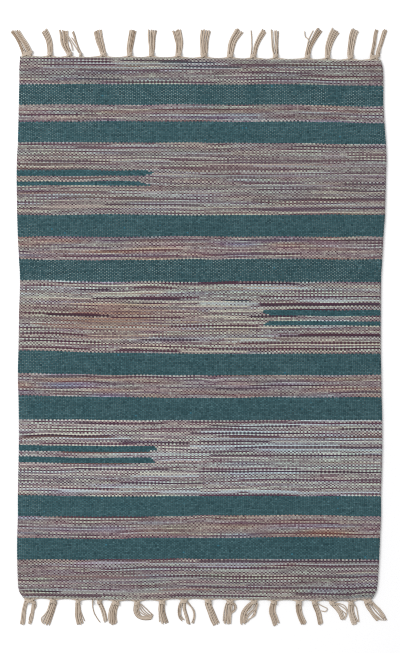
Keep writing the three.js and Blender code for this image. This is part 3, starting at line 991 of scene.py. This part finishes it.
NEAR_BUNCHES = {
    "tassel_01": [(-286, 6.6, (-290, 21), (-293, 42.5), 8), (-273, 5, (-276, 21), (-280, 42), 6)],
    "tassel_02": [(-242, 11, (-246, 20), (-256, 42), 14)],
    "tassel_03": [(-201, 7.6, (-201, 21), (-197, 42.5), 12.4)],
    "stray": [(-177, 2, (-174, 23), (-164, 39.5), 2)],
    "tassel_04": [(-166, 7, (-160, 21), (-155, 38), 6)],
    "tassel_05": [(-139, 12, (-144, 21), (-143, 42), 13)],
    "tassel_06": [(-104, 9, (-101, 28.5), (-78, 28.5), 8)],
    "tassel_07": [(-63, 11, (-63, 20), (-58, 41), 14)],
    "tassel_08": [
        (-32, 1.8, (-36, 20), (-30, 33.5), 1.8),
        (-27, 5, (-25, 21), (-18.5, 42.5), 5),
        (-22, 1.8, (-11, 20), (-11, 40), 1.8),
    ],
    "tassel_09": [(13, 11, (17.5, 21), (28, 42), 12)],
    "tassel_10": [(49, 12, (46, 20), (44, 42), 13)],
    "tassel_11": [(86.5, 7, (73, 20), (71, 42), 9), (92.5, 1.8, (89, 21), (80, 34), 1.8)],
    "tassel_12": [(121, 10, (119, 21), (126, 42.5), 13)],
    "tassel_13": [(162, 10, (163, 21), (171, 42.5), 10)],
    "tassel_14": [(188, 9, (193, 20), (199, 42.5), 7.6)],
    "tassel_15": [(217, 10, (227, 18), (235, 34), 7)],
    "tassel_16": [(248, 9, (248.5, 21), (255.5, 42.5), 12)],
    "tassel_17": [(272, 6, (280, 20), (293, 34.5), 6), (280, 6, (291, 15), (303, 31), 6.6)],
}
Bunch = collections.namedtuple("Bunch", "name legs middle half knot_out strands")


def strand_count(leg):
    return max(1, round((leg[1] + leg[4]) / 2 * MM / STRAND_PITCH))


def gather(bunches, sign):
    """Each bunch's legs, and its knot's middle, half width and distance out from the cloth."""
    gathered = []
    for name, legs in bunches.items():
        low = min(leg[0] - leg[1] / 2 for leg in legs) * MM - KNOT_MARGIN
        high = max(leg[0] + leg[1] / 2 for leg in legs) * MM + KNOT_MARGIN
        root = sum(leg[0] for leg in legs) / len(legs) * MM
        knot_out = sign * end_at(sign, root) - CLOTH_LENGTH / 2 + HEADING_OUT + KNOT_LENGTH / 2
        strands = sum(strand_count(leg) for leg in legs)
        gathered.append(Bunch(name, legs, (low + high) / 2, (high - low) / 2, knot_out, strands))
    return sorted(gathered, key=lambda bunch: bunch.middle)


def on_rug(sign, across, outwards, height):
    """A route past an end of the cloth, from places across, distances outwards and heights."""
    route = np.column_stack([across, sign * (outwards + CLOTH_LENGTH / 2), height])
    route[:, :2] += RUG_SHIFT
    return route


class Yarns:
    """Twisted yarns gathered into one mesh, with a map of lengths along and around each yarn."""

    def __init__(self):
        self.places = []
        self.faces = []
        self.map = []
        self.tones = []
        self.count = 0

    def lay(self, route, radius, tone, phase):
        """Lays one yarn along a route. Its two plies turn round each other, and its ends are cut."""
        lengths = np.concatenate([[0], np.cumsum(np.linalg.norm(np.diff(route, axis=0), axis=1))])
        rings = max(4, int(lengths[-1] / RING_STEP) + 1)
        stations = np.linspace(0, lengths[-1], rings)
        middle = np.stack([np.interp(stations, lengths, route[:, k]) for k in range(3)], -1)
        heading = np.gradient(middle, axis=0)
        heading /= np.linalg.norm(heading, axis=1)[:, None]
        side = np.cross(heading[0], (0, 0, 1.0))
        if np.linalg.norm(side) < 0.1:
            side = np.array((1.0, 0, 0))
        sides = []
        for direction in heading:
            side = side - direction * np.dot(side, direction)
            side = side / np.linalg.norm(side)
            sides.append(side)
        sides = np.array(sides)
        upwards = np.cross(heading, sides)
        angle = np.arange(YARN_SIDES) * 2 * math.pi / YARN_SIDES
        turn = 2 * math.pi * (stations / PLY_PITCH + phase)
        girth = 1 - PLY_DEPTH + PLY_DEPTH * np.cos(2 * (angle[None, :] - turn[:, None]))
        girth[0] *= TUCKED_END
        girth[-1] *= CUT_END
        round_about = sides[:, None] * np.cos(angle)[None, :, None]
        round_about = round_about + upwards[:, None] * np.sin(angle)[None, :, None]
        skin = middle[:, None] + round_about * (radius * girth[..., None])
        skin[..., 2] = np.maximum(skin[..., 2], FLOOR_GAP)
        start = self.count
        self.places.append(skin.reshape(-1, 3))
        self.count += rings * YARN_SIDES
        ring = np.arange(rings - 1)[:, None] * YARN_SIDES + start
        corner = np.arange(YARN_SIDES)[None, :]
        here, after = ring + corner, ring + (corner + 1) % YARN_SIDES
        walls = np.stack([here, after, after + YARN_SIDES, here + YARN_SIDES], -1)
        self.faces += [tuple(face) for face in walls.reshape(-1, 4).tolist()]
        self.faces.append(tuple(range(start + YARN_SIDES - 1, start - 1, -1)))
        self.faces.append(tuple(range(self.count - YARN_SIDES, self.count)))
        along = np.repeat(stations / MM, YARN_SIDES).reshape(rings, YARN_SIDES)
        around = np.arange(YARN_SIDES + 1) * 2 * math.pi * radius / MM / YARN_SIDES
        spread = np.empty((rings - 1, YARN_SIDES, 4, 2))
        spread[..., :2, 0] = along[:-1, :, None]
        spread[..., 2:, 0] = along[1:, :, None]
        spread[..., (0, 3), 1] = around[:-1, None]
        spread[..., 1:3, 1] = around[1:, None]
        caps = np.zeros((YARN_SIDES * 2, 2))
        caps[YARN_SIDES:, 0] = stations[-1] / MM
        self.map += [spread.reshape(-1, 2), caps]
        self.tones.append(np.full((rings - 1) * YARN_SIDES + 2, tone))

    def finish(self, name, node):
        """Makes the mesh of all the yarns laid so far and puts it in its solid's place."""
        mesh = bpy.data.meshes.new(name)
        mesh.from_pydata(np.vstack(self.places), [], self.faces, shade_flat=False)
        add_map(mesh, "Yarn", np.vstack(self.map))
        tones = mesh.attributes.new("tone", "FLOAT", "FACE")
        tones.data.foreach_set("value", np.concatenate(self.tones).astype(np.float32))
        mesh.materials.append(warp_material)
        piece = add_object(name, mesh)
        stand_for(piece, node)
        return piece


# The warp is one unbleached cotton, a little darker or paler from yarn to yarn
WARP_COLOURS = ((150, 131, 112), (184, 169, 153), (200, 188, 174))

warp_material, tree, shader = new_material("cream cotton warp")
measured = split(add_node(tree, "ShaderNodeUVMap", {}, uv_map="Yarn")["UV"])
along, around = measured["X"], measured["Y"]
tone = add_node(tree, "ShaderNodeAttribute", {}, attribute_name="tone")["Fac"]
pitch_mm = PLY_PITCH / MM / 2
plies = use_group(tree, ply_group, Along=along, Around=around, Pitch=pitch_mm, Slant=PLY_SLANT)
fibre = use_group(tree, fibre_group, Along=along, Around=around, Seed=tone)
tones = tree.nodes.new("ShaderNodeValToRGB")
put(tones.inputs["Fac"], tone)
tones.color_ramp.elements.new(0.5)
for stop, colour in zip(tones.color_ramp.elements, WARP_COLOURS):
    stop.color = (*linear(colour), 1.0)
# Painted shade in the ply grooves, and the fibres' painted light and shade, scale the warp's colour
finish_cotton(
    tree,
    shader,
    tones.outputs["Color"],
    times(times_plus(plies["Groove"], -0.03, 1.0), fibre["Shade"]),
    {
        "Height": times_plus(fibre["Height"], 0.5, plies["Height"]),
        "Strength": 0.4,
        "Distance": 0.1 * MM,
    },
    {"Roughness": 0.9, "Sheen Weight": 0.15},
)


def curve_points(controls, count):
    """Points along a cubic curve from its four control points."""
    start, leave, arrive, stop = np.asarray(controls, float)
    share = np.linspace(0, 1, count)[:, None]
    rest = 1 - share
    return rest**3 * start + 3 * rest**2 * share * leave + 3 * rest * share**2 * arrive + share**3 * stop


WARP_TUCK = 1.6 * MM
HEADING_RADIUS = 0.62 * MM
HEADING_POINTS = 14
HEADING_TONE = 0.6
HEADING_TONE_SPREAD = 0.13
WARP_HEIGHT = 1.9 * MM
SIDEWAYS_REACH = 20 * MM
DRAWN_IN = 0.35
ENTRY_SHARE = 0.65
LANE_STEP = 0.5 * MM
LOWEST_HEIGHT = 0.95 * MM
HEAPED_HEIGHT = 1.5 * MM
CHANCE_HEIGHT = 0.4 * MM
ARCH_OUT = 0.5 * MM
ARCH_UP = 0.7 * MM
DRAWN_BACK = 0.8 * MM
KNOT_DEPTH = 1.0 * MM
KNOT_SPREAD = 0.8 * MM
RUG_ENDS = (("far", 1, gather(FAR_BUNCHES, 1)), ("near", -1, gather(NEAR_BUNCHES, -1)))
for end_name, sign, bunches in RUG_ENDS:
    limits = []
    for here, there in zip(bunches[:-1], bunches[1:]):
        between = (there.middle - here.middle) * here.strands / (here.strands + there.strands)
        limits.append(here.middle + between)
    end_yarns = Yarns()
    for place in pick_x[0 if sign > 0 else -1]:
        bunch = bunches[int(np.searchsorted(limits, place))]
        edge = sign * end_at(sign, place) - CLOTH_LENGTH / 2
        off = place - bunch.middle
        closeness = 1 - min(abs(off) / SIDEWAYS_REACH, 1)
        most = ENTRY_SHARE * bunch.half
        entry = bunch.middle + np.clip(off * DRAWN_IN, -most, most)
        lane = LANE_STEP * (closeness + draw.random())
        height = LOWEST_HEIGHT + HEAPED_HEIGHT * closeness + CHANCE_HEIGHT * draw.random()
        # It leaves the cloth, arches over its neighbours and comes down into the knot
        controls = [
            (place, edge - WARP_TUCK, WARP_HEIGHT),
            (place - 0.1 * off, edge + ARCH_OUT + 0.5 * lane, height + ARCH_UP),
            (entry + 0.05 * off, edge - DRAWN_BACK + 0.7 * lane, height),
            (entry, bunch.knot_out - KNOT_DEPTH, KNOT_MIDDLE + KNOT_SPREAD * draw.normal()),
        ]
        across, outwards, height = curve_points(controls, HEADING_POINTS).T
        route = on_rug(sign, across, outwards, np.maximum(height, HEADING_RADIUS))
        shade = HEADING_TONE + HEADING_TONE_SPREAD * draw.normal()
        end_yarns.lay(route, HEADING_RADIUS, shade, draw.random())
    end_yarns.finish(f"{end_name}_heading_warps", f"{end_name}_heading")

# Fringe
# The gathered warps are tied in a soft overhand knot close to the cloth. Their ends lie on the
# floor in two layers, swept aside as they were left, and are trimmed by hand a little unevenly.
STRAND_RADIUS = 0.84 * MM
STRAND_POINTS = 40
RADIUS_SPREAD = 0.08
STRAND_TONE = 0.4
# Painted light on the upper layer of strands, and so painted shade on the lower one beneath it
UPPER_LAYER_PAINTED_LIGHT = 0.08
STRAND_TONE_SPREAD = 0.09
FRINGE_SWAY = 0.4 * MM
FRINGE_WAVE = 0.16 * MM
SLOW_TURNS = (5, 4)
QUICK_TURNS = (14, 9)
FRINGE_TRIM = 2.6 * MM
UPPER_LIFT = 1.1 * MM
UPPER_SINKS = 0.45
LAYER_GAP = 1.2 * MM
CLUMPING = 0.035
STRAYING = 0.2
FRINGE_MM = 45
SETTLING_MM = 4.5
CLUMP_PLACES = (-0.5, -0.17, 0.17, 0.5)
CLUMP_TONE = 0.17


def chance_wave(along, turns, more_turns):
    """A wave with a chance length and start."""
    return np.sin((turns + more_turns * draw.random()) * along + 6 * draw.random())


def leg_strands(leg, knot_out, sign, yarns):
    """Lays one leg's strands: a lower layer on the floor, and an upper one in its hollows."""
    root_x, root_width, bend, tip, tip_width = leg
    root = np.array((root_x * MM, knot_out))
    tip = np.array(tip) * MM
    control = 2 * np.array(bend) * MM - root / 2 - tip / 2
    lower = strand_count(leg)
    shares = [((k + 0.5) / lower - 0.5, 0) for k in range(lower)]
    shares += [((k + 1) / lower - 0.5, 1) for k in range(lower - 1)]
    along = np.linspace(0, 1, STRAND_POINTS)[:, None]
    swept = FRINGE_SWAY * chance_wave(along, *SLOW_TURNS)
    clumps = draw.normal(size=len(CLUMP_PLACES))
    clump_phase = draw.random()
    for share, layer in shares:
        span = 1 - draw.random() * FRINGE_TRIM / np.linalg.norm(tip - root)
        t = along * span
        middle = (1 - t) ** 2 * root + 2 * (1 - t) * t * control + t**2 * tip
        direction = 2 * (1 - t) * (control - root) + 2 * t * (tip - control)
        direction /= np.linalg.norm(direction, axis=1)[:, None]
        square = np.stack([direction[:, 1], -direction[:, 0]], -1)
        widthways = (1 - t) * np.array((1.0, 0.0)) + t * square
        width = (root_width + (tip_width - root_width) * t) * MM
        bent = draw.normal() * FRINGE_WAVE * chance_wave(t, *SLOW_TURNS)
        bent = bent + 0.5 * FRINGE_WAVE * chance_wave(t, *QUICK_TURNS)
        clumped = share + CLUMPING * math.sin(2 * math.pi * (3 * share + clump_phase))
        clumped += STRAYING / lower * draw.normal()
        place = middle + widthways * (clumped * width + (swept + bent) * np.minimum(1, 4 * t))
        settled = np.exp(-((t[:, 0] * FRINGE_MM / SETTLING_MM) ** 2))
        rest = WARP_RADIUS + layer * UPPER_LIFT * (1 - UPPER_SINKS * t[:, 0])
        height = rest * (1 - settled) + (KNOT_MIDDLE + (layer - 0.5) * LAYER_GAP) * settled
        # The upper layer is painted lighter than the lower one, as painted shade on the lower strands under
        # it; the rest is each strand's own tone
        shade = STRAND_TONE + UPPER_LAYER_PAINTED_LIGHT * layer + STRAND_TONE_SPREAD * draw.normal()
        shade += CLUMP_TONE * np.interp(share, CLUMP_PLACES, clumps)
        radius = STRAND_RADIUS * (1 + RADIUS_SPREAD * draw.normal())
        yarns.lay(on_rug(sign, *place.T, height), radius, shade, draw.random())


KNOT_HALF_HEIGHT = 1.75 * MM
KNOT_WRAPS = 4
KNOT_LEAN = 0.32
USUAL_LEAN = 0.7
KNOT_NARROWING = 0.1
KNOT_SLOPE = 0.04
KNOT_TONE = 0.52
KNOT_TONE_SPREAD = 0.1
WRAP_POINTS = 26
WRAP_TURN = 0.62
WRAP_CLIMB = 0.5 * MM
CROSS_POINTS = 14
CROSS_TURN = 0.32
CROSS_APART = 0.8 * MM
CROSS_BREADTH = 0.8
CROSS_LEAN = 1.6
CROSS_UP = 0.75 * MM
CROSS_BEND = 0.9
CROSS_RADIUS = 0.95 * WARP_RADIUS
CROSS_TONE = 0.6
CROSS_TONE_SPREAD = 0.08


def tie_knot(bunch, sign, yarns):
    """Wraps a few yarns slantwise round the bunch, and one pair back over them."""
    lean = KNOT_LEAN if draw.random() < USUAL_LEAN else -KNOT_LEAN
    angle = np.linspace(-WRAP_TURN, WRAP_TURN, WRAP_POINTS) * 2 * math.pi
    spacing = (KNOT_LENGTH - 2 * WARP_RADIUS) / (KNOT_WRAPS - 1)
    for wrap in range(KNOT_WRAPS):
        offset = (wrap - (KNOT_WRAPS - 1) / 2) * spacing
        half = (bunch.half - WARP_RADIUS) * (1 - KNOT_NARROWING * abs(offset) / KNOT_LENGTH)
        x = bunch.middle + half * np.sin(angle)
        y = bunch.knot_out + offset + lean * half * np.sin(angle) + WRAP_CLIMB * angle / math.pi
        z = KNOT_MIDDLE + KNOT_HALF_HEIGHT * np.cos(angle) * (1 - KNOT_SLOPE * abs(offset) / MM)
        route = on_rug(sign, x, y, np.maximum(z, WARP_RADIUS))
        yarns.lay(route, WARP_RADIUS, KNOT_TONE + KNOT_TONE_SPREAD * draw.normal(), draw.random())
    for offset in (-CROSS_APART, CROSS_APART):
        half = (bunch.half - WARP_RADIUS) * CROSS_BREADTH
        short = np.linspace(-CROSS_TURN, CROSS_TURN, CROSS_POINTS) * 2 * math.pi
        x = bunch.middle + half * np.sin(short)
        y = bunch.knot_out + offset - CROSS_LEAN * lean * half * np.sin(short)
        z = KNOT_MIDDLE + (KNOT_HALF_HEIGHT + CROSS_UP) * np.cos(short * CROSS_BEND)
        route = on_rug(sign, x, y, np.maximum(z, WARP_RADIUS))
        yarns.lay(route, CROSS_RADIUS, CROSS_TONE + CROSS_TONE_SPREAD * draw.normal(), draw.random())


# Yarns that lie apart from the rest of their bunch, by the photograph's columns and rows
LOOSE_YARNS = {
    "far_tassel_01": [
        [(27.5, 53), (23.5, 45), (18.5, 37.5), (13.8, 30.5)],
        [(25.5, 53), (21.5, 45), (16.3, 38), (12.6, 31)],
        [(29.5, 54), (25.0, 46), (20.3, 38.5), (15.5, 30.5)],
    ],
    "far_stray": [[(79, 53), (73.3, 44), (68, 36), (65.5, 31)], [(81.5, 54), (76.5, 45), (71.5, 37.5)]],
    "far_tassel_03": [
        [(70, 51), (66.5, 44), (61.5, 36), (59.2, 30)],
        [(72.5, 51), (71, 44), (66, 35), (65, 31)],
    ],
    "far_tassel_11": [[(275, 53), (273, 42), (272.3, 31)], [(277, 53), (275.3, 42), (274.6, 30.6)]],
    "far_tassel_12": [[(310.5, 47), (308, 39.4), (305.2, 36.7), (304.6, 31.4)]],
    "far_tassel_15": [[(371, 53), (374.4, 41), (376.2, 31)], [(379.5, 53), (381.5, 41), (384, 30.5)]],
    "near_tassel_01": [[(27, 601), (33, 602.5), (36, 605), (34.5, 609), (31, 613), (29, 620)]],
    "near_tassel_02": [[(49, 609), (45, 614), (41.5, 618), (42, 622), (44.3, 624)]],
    "near_tassel_03": [[(79, 603), (81, 612), (84.5, 621)]],
    "near_tassel_06": [
        [(136, 603), (139, 611), (146, 615.5), (152, 616.5)],
        [(139, 603), (143.5, 609.5), (148.5, 614), (153, 616)],
        [(135, 604), (136.5, 614), (143.5, 618.5), (152.5, 617)],
        [(140.5, 603.5), (146, 608.5), (150, 612.5), (153.3, 615.2)],
        [(137.5, 603), (141.5, 610.5), (147, 614.7), (152.5, 616.3)],
    ],
    "near_tassel_07": [[(160, 603), (159, 612), (159.5, 622)]],
    "near_tassel_08": [
        [(180.5, 603), (179.4, 610), (180.2, 616.8), (182.9, 619.5)],
        [(182, 603), (180.6, 610), (181.2, 616), (184.2, 620)],
        [(181, 602), (178.2, 609), (179, 617), (182.2, 621)],
        [(188.8, 604), (193.8, 610), (194.8, 617), (192.8, 623.5)],
        [(187.5, 603), (192.4, 609), (193.8, 616), (191.5, 623)],
    ],
    "near_tassel_10": [
        [(233, 602), (235.6, 606), (234.5, 611), (229, 614.5), (227.5, 620)],
        [(226, 603), (223.8, 612), (223, 621)],
        [(231, 602), (234.3, 605.5), (233.2, 610.5), (228, 614), (226, 621)],
        [(229, 601.5), (234.6, 603.5), (236, 608.5), (231.5, 613.5), (229.5, 620)],
    ],
    "near_tassel_11": [
        [(257.3, 603), (255.2, 610), (253.6, 615.5), (247.2, 620)],
        [(254, 603), (250, 609), (245, 614), (242.5, 621)],
        [(256, 603), (253, 609), (248, 614), (244.5, 621.5)],
        [(257, 603.5), (255.4, 608.5), (251, 613), (247.5, 617), (245.5, 622)],
        [(257.8, 603), (256.4, 609), (254.8, 615), (249.5, 619), (246.8, 622)],
    ],
    "near_tassel_14": [[(317, 603), (323, 606.3), (327, 608.5), (325.3, 611.4), (320.8, 610.6)]],
    "near_tassel_15": [
        [(334, 603), (340, 603.6), (344.8, 606), (347.8, 612)],
        [(331, 603), (338.5, 608), (345.5, 614), (344.2, 620)],
        [(333, 602.5), (341, 606), (346.5, 611), (346, 617)],
    ],
    "near_tassel_16": [[(350, 602), (355.5, 606), (357.5, 614), (358.8, 622)]],
    "near_tassel_17": [
        [(368, 603), (372, 611), (379, 618), (382, 620.3)],
        [(372, 602), (377.5, 609), (384, 616), (386.6, 620)],
        [(369, 602), (374.5, 610), (381, 617), (384, 620.5)],
        [(371, 601), (376, 608), (382.5, 615.5), (385.5, 620.5)],
        [(366, 602), (369.5, 609), (376, 616.5), (380, 620)],
    ],
}
LOOSE_HEIGHT = WARP_RADIUS * 1.6
LOOSE_TONE = 0.47
LOOSE_TONE_SPREAD = 0.15
LOOSE_STEPS = 12
LOOSE_SETTLING = 4


def loose_yarn(points, yarns):
    """Lays a yarn from its knot down to the floor, along a smooth line through the points."""
    line = smooth_line([(across_at(column), along_at(row)) for column, row in points], LOOSE_STEPS)
    settled = np.exp(-((np.linspace(0, 1, len(line)) * LOOSE_SETTLING) ** 2))
    height = LOOSE_HEIGHT + (KNOT_MIDDLE - LOOSE_HEIGHT) * settled
    tone = LOOSE_TONE + LOOSE_TONE_SPREAD * draw.normal()
    yarns.lay(np.column_stack([line, height]), WARP_RADIUS, tone, draw.random())


for end_name, sign, bunches in RUG_ENDS:
    for bunch in bunches:
        node = f"{end_name}_{bunch.name}"
        bunch_yarns = Yarns()
        for leg in bunch.legs:
            leg_strands(leg, bunch.knot_out, sign, bunch_yarns)
        for points in LOOSE_YARNS.get(node, []):
            loose_yarn(points, bunch_yarns)
        tie_knot(bunch, sign, bunch_yarns)
        bunch_yarns.finish(f"{node}_yarns", node)
